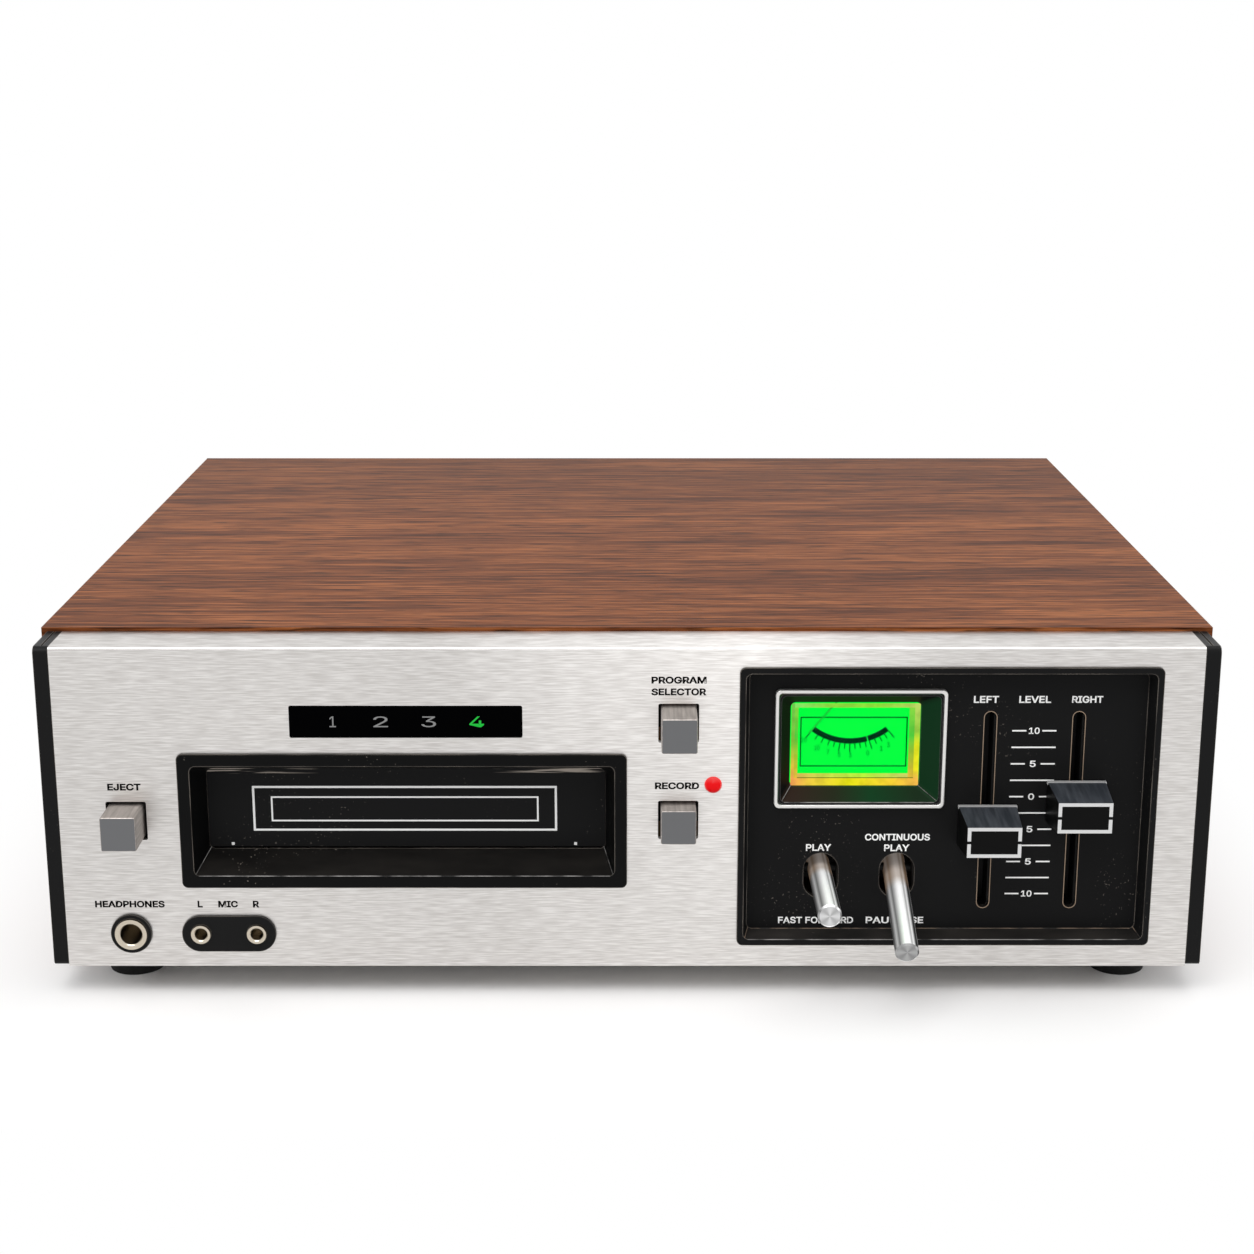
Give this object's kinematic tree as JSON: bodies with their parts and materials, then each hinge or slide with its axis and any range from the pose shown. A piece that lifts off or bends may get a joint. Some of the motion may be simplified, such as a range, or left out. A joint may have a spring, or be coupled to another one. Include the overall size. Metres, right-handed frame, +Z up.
{
  "type": "8 track player",
  "caption": "Table-top 8 track tape player in a walnut cabinet, with a cartridge slot, a lit level meter, level slides, two levers and push keys on an aluminium front.",
  "frame": {"origin": "on the floor under the feet, in the middle of the whole object's width and depth, controls included", "axes": "+X to the viewer's right, +Y from the front panel towards the back, +Z up"},
  "size_m": [0.35, 0.317, 0.1102],
  "materials": {
    "walnut": "satin",
    "brushed_aluminium": "brushed",
    "black_trim": "satin",
    "black_gloss": "gloss",
    "key_grey": "satin",
    "knob_black": "satin",
    "bright_plastic": "polished",
    "lever_steel": "polished",
    "lamp_red": "gloss",
    "nickel": "polished",
    "clear_lens": "clear",
    "dial_green": "matte",
    "needle_black": "matte",
    "black_case": "matte",
    "foot_rubber": "matte",
    "belt_rubber": "matte",
    "zinc_steel": "plain",
    "bright_steel": "turned",
    "bronze": "plain",
    "cast_wheel": "turned",
    "motor_can": "satin",
    "brass_pulley": "turned",
    "head_metal": "polished",
    "white_moulding": "plain",
    "coil_steel": "plain",
    "board_brown": "plain",
    "component_mix": "plain"
  },
  "bodies": {
    "cabinet": {"top_board": "walnut", "left_side_board": "walnut", "right_side_board": "walnut", "front_panel": "brushed_aluminium", "left_end_cap": "black_trim", "right_end_cap": "black_trim", "cartridge_bezel": "black_gloss", "control_tray": "black_trim", "display_window": "black_gloss", "program_lamps": "white_moulding", "record_lamp": "lamp_red", "headphone_jack": "nickel", "jack_trims": "black_trim", "mic_jacks": "nickel", "meter_frame": "bright_plastic", "meter_housing": "black_case", "meter_lens": "clear_lens", "meter_dial": "dial_green", "meter_movement": "zinc_steel", "button_switches": "black_case", "lever_pivots": "zinc_steel", "level_controls": "black_case", "bottom_cover": "zinc_steel", "rubber_feet": "foot_rubber", "case_screws": "bright_steel", "back_panel": "zinc_steel", "line_jacks": "nickel", "cord_gland": "black_case", "deck_plate": "zinc_steel", "cartridge_guides": "black_case", "door_pin": "bright_steel", "torsion_springs": "bright_steel", "capstan_bearing": "bronze", "thrust_bracket": "zinc_steel", "drive_belt": "belt_rubber", "motor": "motor_can", "mechanism_posts": "bright_steel", "mechanism_brackets": "zinc_steel", "solenoid": "coil_steel", "transformer": "coil_steel", "circuit_boards": "board_brown", "board_parts": "component_mix"},
    "door": {"cartridge_door": "black_gloss"},
    "eject": {"eject_button": "key_grey"},
    "program": {"program_button": "key_grey"},
    "record": {"record_button": "key_grey"},
    "play": {"play_lever": "lever_steel"},
    "pause": {"pause_lever": "lever_steel"},
    "left_level": {"level_knob_left": "knob_black"},
    "right_level": {"level_knob_right": "knob_black"},
    "needle": {"meter_needle": "needle_black"},
    "capstan": {"flywheel": "cast_wheel", "capstan_shaft": "bright_steel"},
    "pulley": {"motor_pulley": "brass_pulley"},
    "carriage": {"head_carriage": "white_moulding", "tape_head": "head_metal"},
    "cam": {"program_cam": "white_moulding"},
    "plunger": {"solenoid_plunger": "bright_steel"},
    "lock": {"lock_arm": "zinc_steel"},
    "roller": {"lock_roller": "white_moulding"}
  },
  "joints": [
    {"name": "door_hinge", "type": "hinge", "parent": "cabinet", "child": "door", "pos_m": [-0.0665, -0.118, 0.07075], "axis": [1, 0, 0], "range_deg": [0, 86], "stiffness_Nm_per_rad": 0.01},
    {"name": "eject_press", "type": "slide", "parent": "cabinet", "child": "eject", "axis": [0, 1, 0], "range_m": [0, 0.0045], "stiffness_N_per_m": 150},
    {"name": "program_press", "type": "slide", "parent": "cabinet", "child": "program", "axis": [0, 1, 0], "range_m": [0, 0.0045], "stiffness_N_per_m": 150},
    {"name": "record_press", "type": "slide", "parent": "cabinet", "child": "record", "axis": [0, 1, 0], "range_m": [0, 0.0045], "stiffness_N_per_m": 150},
    {"name": "play_tilt", "type": "hinge", "parent": "cabinet", "child": "play", "pos_m": [0.0584, -0.1195, 0.0362], "axis": [-1, 0, 0], "range_deg": [-18.5, 18.5], "stiffness_Nm_per_rad": 0.2},
    {"name": "pause_tilt", "type": "hinge", "parent": "cabinet", "child": "pause", "pos_m": [0.0813, -0.1195, 0.0362], "axis": [-1, 0, 0], "range_deg": [0, 37]},
    {"name": "left_level_slide", "type": "slide", "parent": "cabinet", "child": "left_level", "axis": [0, 0, 1], "range_m": [-0.0247, 0.0331]},
    {"name": "right_level_slide", "type": "slide", "parent": "cabinet", "child": "right_level", "axis": [0, 0, 1], "range_m": [-0.0323, 0.0255]},
    {"name": "needle_swing", "type": "hinge", "parent": "cabinet", "child": "needle", "pos_m": [0.0671, -0.1193, 0.0939], "axis": [0, -1, 0], "range_deg": [0, 78], "stiffness_Nm_per_rad": 0.0005},
    {"name": "flywheel_spin", "type": "hinge", "parent": "cabinet", "child": "capstan", "pos_m": [-0.0325, -0.0285, 0.026], "axis": [0, 0, 1], "continuous": true},
    {"name": "motor_spin", "type": "hinge", "parent": "cabinet", "child": "pulley", "pos_m": [-0.125, 0.0185, 0.026], "axis": [0, 0, 1], "continuous": true},
    {"name": "cam_turn", "type": "hinge", "parent": "cabinet", "child": "cam", "pos_m": [-0.0665, -0.0065, 0.0483], "axis": [0, 1, 0], "range_deg": [0, 290]},
    {"name": "carriage_lift", "type": "slide", "parent": "cabinet", "child": "carriage", "axis": [0, 0, 1], "range_m": [-0.0024, 0]},
    {"name": "plunger_pull", "type": "slide", "parent": "cabinet", "child": "plunger", "axis": [1, 0, 0], "range_m": [0, 0.004], "stiffness_N_per_m": 100},
    {"name": "lock_swing", "type": "hinge", "parent": "cabinet", "child": "lock", "pos_m": [-0.135, -0.0215, 0.049], "axis": [0, 0, -1], "range_deg": [-6.5, 0], "stiffness_Nm_per_rad": 0.05},
    {"name": "roller_spin", "type": "hinge", "parent": "lock", "child": "roller", "pos_m": [-0.1223, -0.0515, 0.053], "axis": [0, 0, 1], "continuous": true}
  ],
  "couplings": [
    {"joint": "motor_spin", "follows": "flywheel_spin", "ratio": 6},
    {"joint": "cam_turn", "follows": "carriage_lift", "rad_per_m": -1963.5}
  ]
}
